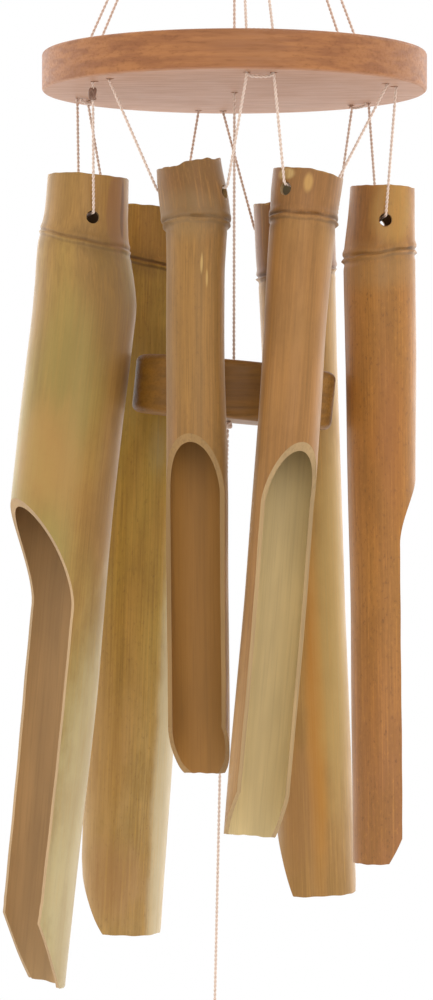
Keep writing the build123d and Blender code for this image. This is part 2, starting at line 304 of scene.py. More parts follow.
def even_points(points, step):
    """The same line with points at even steps along it."""
    lengths = np.concatenate([[0], np.cumsum(np.linalg.norm(np.diff(points, axis=0), axis=1))])
    count = max(int(round(lengths[-1] / step)) + 1, 4)
    at = np.linspace(0, lengths[-1], count)
    return np.stack([np.interp(at, lengths, points[:, k]) for k in range(3)], 1), at


def frames(points):
    """Two directions across the line at each point, from the flattest direction of its plane."""
    tangent = np.gradient(points, axis=0)
    tangent /= np.linalg.norm(tangent, axis=1, keepdims=True)
    spread = points - points.mean(0)
    across = np.linalg.svd(spread, full_matrices=True)[2][2]
    first = across - (tangent @ across)[:, None] * tangent
    first /= np.linalg.norm(first, axis=1, keepdims=True)
    return first, np.cross(tangent, first)


def ply(surface, line, at, radius, offset, pitch, phase, sides=8):
    """One ply: a circle of the given radius carried along a helix of the given pitch about the line."""
    first, second = frames(line)
    angle = (2 * pi * at / pitch + phase)[:, None]
    middle = line + offset * (np.cos(angle) * first + np.sin(angle) * second)
    around = np.linspace(0, 2 * pi, sides + 1)
    thick = np.full(len(at), radius)
    thick[[0, -1]] = 0.0
    across, along = np.cos(around)[None, :, None], np.sin(around)[None, :, None]
    points = middle[:, None] + thick[:, None, None] * (across * first[:, None] + along * second[:, None])
    flat = np.broadcast_arrays(np.cos(around)[None] * radius, np.sin(around)[None] * radius, at[:, None])
    # value is 1 where the ply faces away from the other ply and 0 where it faces in; the twine finish paints
    # shade from it
    facing = np.cos(around[None] - angle)
    surface.add(points, grain=np.stack(flat, 2), value=0.5 + 0.5 * facing)


def twine(name, route, radius=CORD_R, phase=0.0):
    """Twisted twine along a route: two plies wound about the smooth line. Returns the piece and its line."""
    line, at = even_points(spline_points(name + "_line", route), TWINE_STEP)
    surface = Surface()
    pitch = bpy.context.scene.chime.twine_pitch
    for k in (0, 1):
        ply(surface, line, at, 0.68 * radius, 0.5 * radius, pitch, phase + pi * k)
    piece = link(name, surface.mesh(name, merge=1e-7, sharp=80.0))
    piece.data.materials.append(material_twine())
    return piece, line


def wound(name, line, radius, core, material):
    """A knot or whipping: a thick ply along a wound line, over a plain core of (radius, height, middle)."""
    line, at = even_points(np.array(line), 0.3 * MM)
    surface = Surface()
    ply(surface, line, at, radius, 0.0, 1.0, 0.0, sides=10)
    core_r, height, middle = core
    around = np.linspace(0, 2 * pi, 17)
    profile = np.array(((0, -0.5), (0.8, -0.5), (1, -0.4), (1, 0.4), (0.8, 0.5), (0, 0.5)))
    ring = np.stack([np.cos(around), np.sin(around)], 1)
    points = np.concatenate([profile[:, None, :1] * core_r * ring[None],
                             np.broadcast_to(profile[:, None, 1:] * height, (6, 17, 1))], 2) + middle
    surface.add(points, grain=points * 8)
    piece = link(name, surface.mesh(name, merge=1e-7, sharp=60.0))
    piece.data.materials.append(material)
    return piece


def whipping_line(middle, radius, height, turns):
    """Turns of twine wound side by side round a bundle, a little uneven."""
    t = np.linspace(0, 1, int(turns * 24))
    angle = 2 * pi * turns * t
    around = radius * (1 + 0.04 * np.sin(5.3 * angle / turns + 1))
    rise = height * (t - 0.5) + 0.05 * MM * np.sin(2.7 * angle / turns * 3)
    return np.stack([around * np.cos(angle), around * np.sin(angle), rise], 1) + middle


def knot_line(middle, radius, height, turn=0.0):
    """An overhand knot pulled tight, as a three-lobed closed loop."""
    t = np.linspace(0, 2 * pi + 0.2, 120)
    x, y = (np.sin(t) + 2 * np.sin(2 * t)) / 3, (np.cos(t) - 2 * np.cos(2 * t)) / 3
    c, s = cos(turn), sin(turn)
    across, along = radius * (c * x - s * y), radius * (s * x + c * y)
    return np.stack([across, along, -height * np.sin(3 * t)], 1) + middle


def dress(piece, body, node):
    """A piece that rides on a body and stands for a CAD node."""
    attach(piece, body)
    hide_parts(node)
    return piece


def hanger_route(index):
    """Gather knot, down through one hole, under the plate, up through the other and back."""
    under, over = PLATE_BOTTOM - CORD_LIFT, PLATE_TOP + 0.3 * MM
    angle = PAIR_FIRST + index * 360 / PAIR_COUNT
    tops = [polar(angle, GATHER_SPREAD, side * 2 * CORD_R, GATHER_Z) for side in (-1, 1)]
    halves = []
    for top, side in zip(tops, (-1, 1)):
        mouth = plate_hole(index, side, -CORD_SIDE, over)
        turn = plate_hole(index, side, -CORD_SIDE, under)
        beside = toward(turn, plate_hole(index, -side, -CORD_SIDE, under), CORD_TURN) - (0, 0, 0.7 * MM)
        halves.append([top, toward(mouth, top, SIX_DIAMETERS), mouth, toward(turn, mouth, CORD_TURN),
                       turn, beside])
    return halves[0] + halves[1][::-1]


def stitch_route(index):
    """Up through one hole of a pair, over the plate and down the other."""
    over = PLATE_TOP + CORD_LIFT
    halves = []
    for side in (-1, 1):
        foot = plate_hole(index, side, CORD_SIDE, PLATE_BOTTOM)
        turn = plate_hole(index, side, CORD_SIDE, over)
        beside = toward(turn, plate_hole(index, -side, CORD_SIDE, over), CORD_TURN)
        halves.append([foot, toward(turn, foot, CORD_TURN), turn, beside])
    return halves[0] + halves[1][::-1]


def tube_cord_route(tube):
    """Plate hole, tube, plate hole: straight down, across through the bamboo and up again."""
    first, second = tube_pairs(tube)
    top = PLATE_BOTTOM - 0.05 * MM
    left, right = mouths(tube)
    start, end = plate_hole(first, 1, CORD_SIDE, top), plate_hole(second, -1, CORD_SIDE, top)
    return [start, toward(left, start, CORD_TURN), left, toward(left, right, CORD_TURN),
            toward(right, left, CORD_TURN), right, toward(right, end, CORD_TURN), end]


# ------------------------------------------------------------------ materials
class Nodes:
    """A short way to build a shader: each call adds a node and returns its output."""

    def __init__(self, name):
        self.material = bpy.data.materials.new(name)
        self.material.use_nodes = True
        self.tree = self.material.node_tree
        self.shader = self.tree.nodes["Principled BSDF"]

    def add(self, kind, **values):
        node = self.tree.nodes.new(kind)
        for key, value in values.items():
            if hasattr(node, key):
                setattr(node, key, value)
            else:
                self.put(node.inputs[key.replace("_", " ")], value)
        return node

    def put(self, socket, value):
        if isinstance(value, bpy.types.NodeSocket):
            self.tree.links.new(value, socket)
        else:
            socket.default_value = value

    def attribute(self, name):
        return self.add("ShaderNodeAttribute", attribute_name=name)

    def scaled(self, vector, scale, move=(0, 0, 0)):
        node = self.add("ShaderNodeMapping")
        self.put(node.inputs["Vector"], vector)
        node.inputs["Scale"].default_value = scale
        node.inputs["Location"].default_value = move
        return node.outputs["Vector"]

    def noise(self, vector, detail=3.0, rough=0.55, size=1.0):
        node = self.add("ShaderNodeTexNoise")
        self.put(node.inputs["Vector"], vector)
        node.inputs["Scale"].default_value = size
        node.inputs["Detail"].default_value = detail
        node.inputs["Roughness"].default_value = rough
        return node.outputs["Fac"]

    def span(self, value, low, high, to_low=0.0, to_high=1.0):
        node = self.add("ShaderNodeMapRange", interpolation_type="SMOOTHSTEP")
        for key, number in (("Value", value), ("From Min", low), ("From Max", high),
                            ("To Min", to_low), ("To Max", to_high)):
            self.put(node.inputs[key], number)
        return node.outputs["Result"]

    def math(self, operation, a, b=0.0):
        node = self.add("ShaderNodeMath", operation=operation)
        self.put(node.inputs[0], a)
        self.put(node.inputs[1], b)
        return node.outputs[0]

    def vector(self, operation, a, b=(0, 0, 0)):
        node = self.add("ShaderNodeVectorMath", operation=operation)
        self.put(node.inputs[0], a)
        self.put(node.inputs[1], b)
        return node.outputs["Value" if operation == "LENGTH" else "Vector"]

    def height(self, place):
        node = self.add("ShaderNodeSeparateXYZ")
        self.put(node.inputs[0], place)
        return node.outputs["Z"]

    def mix(self, share, a, b):
        node = self.add("ShaderNodeMix", data_type="RGBA")
        self.put(node.inputs["Factor"], share)
        for socket, colour in ((node.inputs[6], a), (node.inputs[7], b)):
            self.put(socket, colour if isinstance(colour, bpy.types.NodeSocket) else (*colour, 1.0))
        return node.outputs[2]

    def bump(self, height, strength, distance):
        node = self.add("ShaderNodeBump")
        node.inputs["Strength"].default_value = strength
        node.inputs["Distance"].default_value = distance
        self.put(node.inputs["Height"], height)
        return node.outputs["Normal"]

    def finish(self, colour, roughness, normal=None):
        self.put(self.shader.inputs["Base Color"], colour)
        self.put(self.shader.inputs["Roughness"], roughness)
        if normal is not None:
            self.put(self.shader.inputs["Normal"], normal)
        return self.material


def material_twine(name="cotton", pale=(0.80, 0.63, 0.52), dark=(0.60, 0.45, 0.36)):
    """Twisted cotton twine: fine fibres along each ply and painted shade in the grooves between plies."""
    if name in bpy.data.materials:
        return bpy.data.materials[name]
    n = Nodes(name)
    grain = n.attribute("grain").outputs["Vector"]
    outward = n.attribute("value").outputs["Fac"]
    fibres = n.noise(n.scaled(grain, (5200, 5200, 420)), detail=2.0)
    patches = n.noise(n.scaled(grain, (40, 40, 90)), detail=2.0)
    # painted shade: each ply is darkened where it faces the other ply, in the groove between them
    painted_groove_shade = n.mix(n.span(outward, 0.1, 0.75), dark, pale)
    colour = n.mix(n.span(fibres, 0.35, 0.65, 0.0, 0.3), painted_groove_shade, dark)
    colour = n.mix(n.span(patches, 0.4, 0.7, 0.0, 0.3), colour, tuple(0.8 * c for c in pale))
    n.shader.inputs["Sheen Weight"].default_value = 0.25
    return n.finish(colour, 0.9, n.bump(fibres, 0.5, 0.00008))


# ------------------------------------------------------------------ bamboo
def channel_depth(tube, s):
    """Distance of the cut from the tube's axis. Above full depth it grows as a power of the height,
    up to the skin where the channel starts; below, it drifts a little and is hand-cut uneven."""
    start, full, curve = tube.arch
    rise = np.clip((full - s) / (full - start), 0, 1.3)
    foot = np.clip((s - full) / (tube.foot - full), 0, 1)
    flat = tube.depth[0] + (tube.depth[1] - tube.depth[0]) * foot
    outside = float(outside_radius(tube, start)) + 0.4
    uneven = 0.12 * np.sin(s / 17 + tube.seed) + 0.05 * np.sin(s / 3.7 + 2 * tube.seed)
    return flat + (outside - tube.depth[0]) * rise ** curve + uneven * (1 - rise.clip(0, 1) ** 0.5)


def crossing(tube, offset):
    """s where the cut meets the radius less an offset, by halving."""
    low, high = tube.arch[0] - 4, tube.arch[1]
    for _ in range(50):
        middle = (low + high) / 2
        if channel_depth(tube, np.array(middle)) > float(outside_radius(tube, middle)) - offset:
            low = middle
        else:
            high = middle
    return high


def joint_line(tube, angle):
    """s of the joint's ring round the tube: out of level, with a slow waver."""
    low_side = angle - radians(tube.node_slope[1] - tube.facing)
    waver = 0.25 * np.sin(3 * angle + tube.seed) + 0.15 * np.sin(7 * angle + 2 * tube.seed)
    return tube.node + tube.node_slope[0] * np.cos(low_side) + waver


def skin_radius(tube, s, angle):
    """Outside radius with the joint's double ridge, a slight oval and slow unevenness."""
    s, angle = np.broadcast_arrays(s, angle)
    rng = np.random.default_rng(tube.seed)
    below = s - joint_line(tube, angle)
    patchy = 1 + 0.3 * np.sin(5 * angle + tube.seed) + 0.25 * np.sin(11 * angle + 3 * tube.seed)
    gap = 2.4 + 0.5 * np.sin(2 * angle + tube.seed)
    ridge = 0.75 * patchy * np.exp(-(below / 0.6) ** 2) + 0.6 * np.exp(-((below + gap) / 1.3) ** 2)
    ridge -= 0.5 * patchy * np.exp(-((below + 0.45 * gap) / 0.5) ** 2)
    ridge -= 0.35 * np.exp(-((below - 1.7) / 1.1) ** 2)
    uneven = np.zeros(s.shape)
    for k in range(1, 5):
        turn, along, size = rng.uniform(0, 2 * pi), rng.uniform(0, 2 * pi), rng.uniform(0.04, 0.11)
        uneven += size * np.sin(k * angle + turn) * np.sin(s * 2 * pi / (45 + 40 * k) + along)
    oval = 1 + 0.008 * np.cos(2 * angle + tube.seed)
    return outside_radius(tube, s) * oval + tube.ridge * ridge + uneven


def bore_radius(tube, s):
    return outside_radius(tube, s) - tube.wall


def tube_point(tube, s, angle, radius):
    """Point in the tube's own frame, where x is the distance toward the open side.
    The foot is cut on a slant and the top on its own slope, both as a shift of s."""
    x, y = radius * np.cos(angle), radius * np.sin(angle)
    foot_r = float(outside_radius(tube, tube.foot))
    slope = tube.trim / (tube.bite * foot_r + tube.depth[1])
    chipped = 0.12 * np.sin(5 * angle + tube.seed) + 0.1 * np.sin(13 * angle + 3 * tube.seed)
    end = tube.foot - slope * np.maximum(x + tube.bite * foot_r, 0) + chipped
    before = tube.foot - tube.trim - 8
    share = np.clip((s - before) / (tube.foot - before), 0, 1)
    down = s + share * (end - tube.foot)
    near_top = np.clip((6 - tube.top - s) / 6, 0, 1)
    high_side = angle - radians(tube.top_slope[1] - tube.facing)
    sawn = np.sin(4 * angle + tube.seed) + 0.6 * np.sin(9 * angle) + 0.4 * np.sin(17 * angle + tube.seed)
    level = tube.top_slope[0] * np.cos(high_side) * radius / foot_r + tube.ragged * 0.5 * sawn
    return np.stack(np.broadcast_arrays(x, y, near_top * level - down), -1)


def tube_rows(tube):
    """Heights of the rows: close together at the top, the joint, the arch and the foot."""
    outer, inner = crossing(tube, 0.0), crossing(tube, tube.wall)
    full = tube.arch[1]
    ease = np.linspace(0, 1, 34) ** 2
    rows = np.concatenate([
        np.linspace(-tube.top, tube.node - 8, 14), np.linspace(tube.node - 8, tube.node + 7, 60),
        np.linspace(tube.node + 7, outer, 36), outer + (full - outer) * ease,
        inner + (full - inner) * ease, np.linspace(full, tube.foot - tube.trim - 8, 60),
        np.linspace(tube.foot - tube.trim - 8, tube.foot, 22)])
    rows = np.unique(np.round(np.concatenate([rows, [outer, inner]]), 4))
    keep = np.concatenate([[True], np.diff(rows) > 0.02])
    return rows[keep], outer, inner


def bamboo_surface(tube, columns=121):
    """Closed shell: skin, cup above the joint, channel below it, cut faces, top and foot rims."""
    rows, outer, inner = tube_rows(tube)
    v = np.linspace(0, 1, columns)[None]
    s = rows[:, None]
    cut = channel_depth(tube, rows)
    open_half = np.where(rows > outer, np.arccos(np.clip(cut / outside_radius(tube, rows), -1, 1)), 0.0)
    bore = bore_radius(tube, rows)
    bore_half = np.where(rows > inner, np.arccos(np.clip(cut / bore, -1, 1)), 0.0)
    skin_angle = open_half[:, None] + v * (2 * pi - 2 * open_half[:, None])
    bore_angle = bore_half[:, None] + v * (2 * pi - 2 * bore_half[:, None])
    surface = Surface()
    bends = np.array((1.0, 0.0, 0.0))

    def put(points, below=FAR_FROM_JOINT, slot=BORE):
        world = points @ tube_matrix(tube).T + smoothed(tube.bend, -points[..., 2:], 5.0) * bends
        surface.add(world * MM + np.array(tube_joint(tube)["pos_m"]), points * MM, below, slot)

    skin = tube_point(tube, s, skin_angle, skin_radius(tube, s, skin_angle))
    put(skin, (s - joint_line(tube, skin_angle)) * MM, 0)
    cup, under = rows <= tube.node - NODE_WALL, rows >= tube.node + NODE_WALL
    cup_points = tube_point(tube, s[cup], bore_angle[cup], bore[cup][:, None])
    bore_points = tube_point(tube, s[under], bore_angle[under], bore[under][:, None])
    put(cup_points)
    put(bore_points)
    for points, dome in ((cup_points[-1], 0.6), (bore_points[0], 0.8)):
        share = np.linspace(1, 0, 7)[:, None, None]
        middle = points.mean(0)
        cap = middle + (points - middle) * share
        cap[..., 2] += dome * (1 - share[..., 0] ** 2)
        put(cap)
    put(np.stack([skin[0], (skin[0] + cup_points[0]) / 2, cup_points[0]]), slot=CUT)
    put(np.stack([skin[-1], (skin[-1] + bore_points[-1]) / 2, bore_points[-1]]), slot=CUT)
    opened = rows >= outer
    for column in (0, -1):
        edge = skin[opened][:, column]
        share = np.where(rows[opened] > inner, 1.0, 0.0)[:, None]
        in_bore = tube_point(tube, rows[opened], bore_angle[opened][:, column], bore[opened])
        in_wall = tube_point(tube, rows[opened], 0.0, cut[opened])
        inside = share * in_bore + (1 - share) * in_wall
        put(np.stack([edge, (edge + inside) / 2, inside], 1), slot=CUT)
    return surface


def hole_cutter(tube):
    """Round bar along the cross hole, closed at its ends, to cut both walls."""
    turn = np.linspace(0, 2 * pi, 33)
    along = np.linspace(-30, 30, 13)
    joint = tube_joint(tube)
    axis = np.array(joint["axis"])
    down = tube_matrix(tube) @ np.array((0, 0, -1.0))
    across = np.cross(axis, down)
    middle = np.array(joint["pos_m"]) + down * CROSS_HOLE_DROP * MM
    radius = CROSS_HOLE_R * MM * np.concatenate([[0], np.ones(11), [0]])
    along[[0, -1]] = along[[1, -2]]
    ring = np.cos(turn)[None, :, None] * across + np.sin(turn)[None, :, None] * down
    points = middle + along[:, None, None] * MM * axis + radius[:, None, None] * ring
    surface = Surface()
    surface.add(points, np.zeros(points.shape), FAR_FROM_JOINT, CUT)
    return link("cutter", surface.mesh("cutter"))


def cut_away(piece, cutter):
    """The piece with the cutter's shape taken out of it."""
    hole = piece.modifiers.new("hole", "BOOLEAN")
    hole.operation = "DIFFERENCE"
    hole.solver = "EXACT"
    hole.object = cutter
    bpy.context.view_layer.update()
    mesh = bpy.data.meshes.new_from_object(piece.evaluated_get(bpy.context.evaluated_depsgraph_get()))
    piece.modifiers.clear()
    old = piece.data
    piece.data = mesh
    bpy.data.meshes.remove(old)
    bpy.data.objects.remove(cutter)
    mesh.name = piece.name
    mesh.set_sharp_from_angle(angle=radians(40))


@dataclass
class Look:
    """Colours of one tube, linear, and how strong its fibres and specks are."""
    main: tuple
    second: tuple
    low: tuple
    top: tuple
    inner: tuple
    rim: tuple
    streak: float = 0.25
    speck: float = 0.15


LOOKS = {
    "left": Look((0.366, 0.193, 0.046), (0.337, 0.247, 0.0594), (0.447, 0.361, 0.167),
        (0.358, 0.188, 0.047), (0.4, 0.233, 0.0921), (0.439, 0.271, 0.119), 0.2, 0.12),
    "back_left": Look((0.411, 0.221, 0.0338), (0.446, 0.292, 0.0475), (0.466, 0.297, 0.108),
        (0.376, 0.191, 0.0316), (0.357, 0.209, 0.066), (0.385, 0.239, 0.0858), 0.25, 0.25),
    "front_left": Look((0.295, 0.144, 0.0329), (0.264, 0.118, 0.026), (0.367, 0.18, 0.0396),
        (0.204, 0.0872, 0.0215), (0.297, 0.137, 0.0251), (0.294, 0.163, 0.0515), 0.3, 0.25),
    "front_right": Look((0.341, 0.154, 0.0378), (0.35, 0.175, 0.0461), (0.388, 0.209, 0.066),
        (0.267, 0.116, 0.0303), (0.546, 0.402, 0.184), (0.395, 0.252, 0.11), 0.2, 0.12),
    "back_right": Look((0.428, 0.228, 0.0515), (0.449, 0.257, 0.066), (0.377, 0.199, 0.0561),
        (0.206, 0.0684, 0.0158), (0.459, 0.275, 0.0792), (0.433, 0.282, 0.119), 0.25, 0.1),
    "right": Look((0.419, 0.183, 0.0365), (0.386, 0.157, 0.0301), (0.321, 0.132, 0.0409),
        (0.366, 0.153, 0.0283), (0.408, 0.209, 0.0594), (0.51, 0.314, 0.112), 0.25, 0.45),
}


def place_on(tube, direction, s):
    """Point of the skin in the tube's own frame, metres, from a direction round +Z and s."""
    angle = radians(direction - tube.facing)
    radius = float(outside_radius(tube, s))
    return np.array((radius * cos(angle), radius * sin(angle), -s)) * MM


def darker(colour, share):
    return tuple(share * c for c in colour)


def material_skin(tube):
    """Satin bamboo skin: lengthwise fibres, blotches and specks, and dark lines at the joint.
    Reads the grain attribute, metres in the tube's own frame, and the distance below the joint."""
    look = LOOKS[tube.name]
    n = Nodes(f"skin_{tube.name}")
    grain = n.attribute("grain").outputs["Vector"]
    below = n.attribute("value").outputs["Fac"]
    shift = (tube.seed * 0.37, tube.seed * 0.11, tube.seed * 0.53)
    fibres = n.noise(n.scaled(grain, (1500, 1500, 22), shift), detail=3.0, rough=0.6)
    bands = n.noise(n.scaled(grain, (230, 230, 4), shift), detail=2.0)
    blotch = n.noise(n.scaled(grain, (60, 60, 22), shift), detail=5.0, rough=0.62)
    wide = n.noise(n.scaled(grain, (26, 26, 9), shift), detail=2.0)
    specks = n.noise(n.scaled(grain, (900, 900, 420), shift), detail=3.0, rough=0.7)
    height = n.height(grain)
    colour = n.mix(n.span(wide, 0.38, 0.62), look.main, look.second)
    foot = -tube.foot * MM
    colour = n.mix(n.span(height, foot * 0.45, foot * 0.95), colour, look.low)
    colour = n.mix(n.span(below, -0.001, 0.001, 1, 0), colour, look.top)
    colour = n.mix(n.span(blotch, 0.42, 0.66, 0, 0.5), colour, darker(look.main, 0.64))
    colour = n.mix(n.span(blotch, 0.48, 0.30, 0, 0.22), colour, darker(look.main, 1.3))
    colour = n.mix(n.span(bands, 0.42, 0.66, 0, 1.5 * look.streak), colour, darker(look.main, 0.62))
    colour = n.mix(n.span(fibres, 0.48, 0.68, 0, 1.5 * look.streak), colour, darker(look.main, 0.55))
    colour = n.mix(n.span(fibres, 0.48, 0.32, 0, look.streak), colour, darker(look.main, 1.5))
    colour = n.mix(n.span(specks, 0.56, 0.70, 0, look.speck), colour, (0.12, 0.05, 0.02))
    colour = n.mix(n.span(specks, 0.45, 0.30, 0, 0.5 * look.speck), colour, darker(look.main, 1.5))
    near = n.span(n.math("ABSOLUTE", below), 0.001, 0.008, 1, 0)
    smudge = n.math("MULTIPLY", near, n.span(blotch, 0.40, 0.60))
    colour = n.mix(n.math("MULTIPLY", smudge, 0.55), colour, darker(look.top, 0.5))
    moved = n.math("ADD", below, n.math("MULTIPLY", n.math("SUBTRACT", blotch, 0.5), 0.0022))
    for middle, half, strength in ((-0.0011, 0.0007, 0.95 * tube.ridge), (0.0010, 0.0006, 0.8 * tube.ridge)):
        gap = n.math("ABSOLUTE", n.math("SUBTRACT", moved, middle))
        line = n.span(gap, half * 0.3, half * 1.3, strength, 0)
        broken = n.math("MULTIPLY", line, n.span(blotch, 0.3, 0.6, 0.35, 1))
        colour = n.mix(broken, colour, (0.12, 0.058, 0.02))
    # patches from SPOTS; the long pale streaks among them are painted backlight glow
    for (direction, s), size, tint, strength, soft in SPOTS.get(tube.name, ()):
        away = n.vector("SUBTRACT", grain, tuple(place_on(tube, direction, s)))
        sized = n.vector("DIVIDE", away, tuple(half * MM for half in size))
        wander = n.math("MULTIPLY", n.math("SUBTRACT", blotch, 0.5), soft)
        edge = n.math("ADD", n.vector("LENGTH", sized), wander)
        mask = n.span(edge, 1 - 0.5 * soft, 1 + 0.3 * soft, strength, 0)
        grained = n.math("MULTIPLY", mask, n.span(fibres, 0.3, 0.6, 0.7, 1))
        colour = n.mix(grained, colour, tint)
    rough = n.span(blotch, 0.35, 0.65, 0.45, 0.58)
    n.shader.inputs["Specular IOR Level"].default_value = 0.35
    n.shader.inputs["Sheen Weight"].default_value = 0.3
    n.shader.inputs["Sheen Roughness"].default_value = 0.35
    n.shader.inputs["Sheen Tint"].default_value = (1.0, 0.92, 0.78, 1.0)
    bumps = n.math("ADD", n.math("MULTIPLY", fibres, 0.5), n.math("MULTIPLY", specks, 0.35))
    return n.finish(colour, rough, n.bump(bumps, 0.3, 0.00025))


# Patches on the skin: (direction round +Z, s), half sizes in mm, colour, strength, softness.
# The long pale streaks down the right side of the left, back_left and back_right tubes are painted backlight
# glow.
SPOTS = {
    "left": (((320, -1.5), (5.5, 5.5, 17), (0.29, 0.135, 0.045), 0.85, 0.3),
             ((331, -1), (1.2, 1.2, 17), (0.1, 0.044, 0.018), 0.6, 0.5),
             ((262, 62), (16, 16, 40), (0.29, 0.226, 0.0562), 0.6, 1.2),
             ((250, 145), (14, 14, 48), (0.31, 0.25, 0.0638), 0.6, 1.2),
             ((245, 96), (13, 13, 26), (0.46, 0.226, 0.0638), 0.5, 1.2),
             ((308, 30), (9, 9, 34), (0.27, 0.163, 0.0675), 0.5, 1.2),
             # painted glow: long pale streak down the right side, for backlight
             ((335, 240), (14, 14, 90), (0.5, 0.40, 0.22), 0.6, 0.8)),
    "back_left": (((255, 262), (15, 15, 20), (0.36, 0.182, 0.0638), 0.6, 1.2),
                  ((240, 215), (13, 13, 34), (0.4, 0.206, 0.0562), 0.5, 1.2),
                  ((262, 60), (5, 5, 22), (0.36, 0.259, 0.0975), 0.5, 1.6),
                  ((300, 88), (4, 4, 10), (0.42, 0.326, 0.135), 0.6, 1.8),
                  # painted glow: long pale streak down the right side, for backlight
                  ((333, 215), (8, 8, 110), (0.62, 0.55, 0.36), 0.6, 0.8)),
    "front_left": (((258, 10), (20, 20, 9), (0.24, 0.144, 0.0562), 0.5, 1.2),
                   ((281, 28), (0.4, 0.6, 4.5), (0.6, 0.384, 0.128), 0.6, 0.9),
                   ((292, 34), (0.5, 0.5, 3.5), (0.6, 0.384, 0.128), 0.6, 0.9)),
    "front_right": (((272, -1), (1.8, 1.8, 3.6), (0.58, 0.326, 0.09), 0.65, 0.9),
                    ((232, -4), (4, 4, 2.4), (0.6, 0.403, 0.15), 0.7, 0.8)),
    "back_right": (((275, 190), (4.2, 4.2, 75), (0.5, 0.216, 0.0263), 0.75, 1.2),
                   ((240, 235), (8, 8, 30), (0.34, 0.163, 0.0525), 0.5, 1.2),
                   # painted glow: long pale streak down the right side, for backlight
                   ((310, 150), (9, 9, 90), (0.5, 0.346, 0.112), 0.6, 1.0)),
    "right": (((238, 0), (8, 8, 15), (0.22, 0.096, 0.0248), 0.75, 1.1),
              ((290, -2), (9, 9, 14), (0.46, 0.259, 0.0638), 0.6, 0.8),
              ((262, 20), (22, 22, 9), (0.34, 0.192, 0.0675), 0.5, 1.2),
              ((282, 80), (6, 6, 38), (0.33, 0.115, 0.0263), 0.5, 1.6)),
}


def material_inside(tube, cut=False):
    """Bare bamboo wood: the smooth pale hollow with painted shade in the cup above the joint, or a cut face
    with coarse fibres.
    """
    look = LOOKS[tube.name]
    base = look.rim if cut else look.inner
    n = Nodes(f"{'cut' if cut else 'hollow'}_{tube.name}")
    grain = n.attribute("grain").outputs["Vector"]
    shift = (tube.seed * 0.21, tube.seed * 0.43, tube.seed * 0.17)
    fibres = n.noise(n.scaled(grain, (1300, 1300, 26), shift), detail=3.0, rough=0.6)
    bands = n.noise(n.scaled(grain, (210, 210, 5), shift), detail=2.0)
    wide = n.noise(n.scaled(grain, (40, 40, 12), shift), detail=3.0)
    colour = n.mix(n.span(wide, 0.35, 0.65), darker(base, 0.86), darker(base, 1.12))
    colour = n.mix(n.span(bands, 0.35, 0.68, 0, 0.32), colour, darker(base, 0.7))
    colour = n.mix(n.span(fibres, 0.45, 0.7, 0, 0.45 if cut else 0.28), colour, darker(base, 0.6))
    if not cut:
        # painted shade: the hollow above the joint, a cup closed by the node, is darkened to 0.3 of its
        # colour
        joint = -tube.node * MM
        colour = n.mix(n.span(n.height(grain), joint - 2 * MM, joint + 2 * MM), colour, darker(base, 0.3))
    return n.finish(colour, 0.72, n.bump(fibres, 0.35, 0.0003 if cut else 0.00015))


def material_wood(name, pale, dark, bands=90, under=None, shift=(0, 0, 0)):
    """Sanded wood: growth bands stretched along the board, fine pores and slow blotches, and
    an underside of another colour below a given height, painted light from below."""
    n = Nodes(name)
    place = n.add("ShaderNodeTexCoord").outputs["Object"]
    grown = n.noise(n.scaled(place, (0.08 * bands, bands, 3.2 * bands), shift), detail=4.0, rough=0.6)
    fine = n.noise(n.scaled(place, (60, 900, 900), shift), detail=3.0, rough=0.65)
    blotch = n.noise(n.scaled(place, (18, 18, 30), shift), detail=3.0)
    colour = n.mix(n.span(grown, 0.34, 0.66), dark, pale)
    colour = n.mix(n.span(fine, 0.5, 0.72, 0, 0.4), colour, darker(dark, 0.6))
    colour = n.mix(n.span(blotch, 0.42, 0.66, 0, 0.28), colour, darker(pale, 0.7))
    # painted light: below the given height, fading out 0.9 mm above it, the wood takes the underside colour,
    # which stands for light from below
    if under is not None:
        height, tint = under
        lines = n.mix(n.span(fine, 0.42, 0.66, 0, 0.55), tint, darker(tint, 0.72))
        lines = n.mix(n.span(grown, 0.4, 0.7, 0, 0.4), lines, darker(tint, 0.8))
        colour = n.mix(n.span(n.height(place), height, height + 0.9 * MM, 1, 0), colour, lines)
    bumps = n.math("ADD", n.math("MULTIPLY", grown, 0.4), fine)
    return n.finish(colour, n.span(fine, 0.3, 0.7, 0.5, 0.68), n.bump(bumps, 0.25, 0.0002))


def material_steel():
    """Drawn steel wire with a fine brushed finish."""
    n = Nodes("ring_finish")
    place = n.add("ShaderNodeTexCoord").outputs["Object"]
    scratches = n.noise(n.scaled(place, (3000, 400, 3000)), detail=2.0)
    colour = n.mix(scratches, (0.42, 0.41, 0.39), (0.62, 0.61, 0.58))
    n.shader.inputs["Metallic"].default_value = 1.0
    return n.finish(colour, n.span(scratches, 0.3, 0.7, 0.25, 0.42), n.bump(scratches, 0.1, 0.00005))


def repaint(node, material):
    """A CAD node keeps its mesh and gets a finished material."""
    data = frame["nodes"][node].data
    data.materials.clear()
    data.materials.append(material)


# ------------------------------------------------------------------ settings
class ChimeSettings(bpy.types.PropertyGroup):
    """Sizes and colours that a user would change."""
    twine_pitch: FloatProperty(name="Twine pitch", description="Length of one turn of the twine's twist",
                               default=3.4 * MM, min=MM, unit="LENGTH")
    camera_distance: FloatProperty(name="Camera distance", default=1.347, unit="LENGTH",
                                   description="From the camera to the chime's middle")
    floor_drop: FloatProperty(name="Floor below the sail", description="Height of the chime above the floor",
                              default=0.35, unit="LENGTH")
    backdrop: FloatVectorProperty(name="Background", description="Colour of the plain background",
                                  default=(1.0, 1.0, 1.0), size=3, subtype="COLOR")


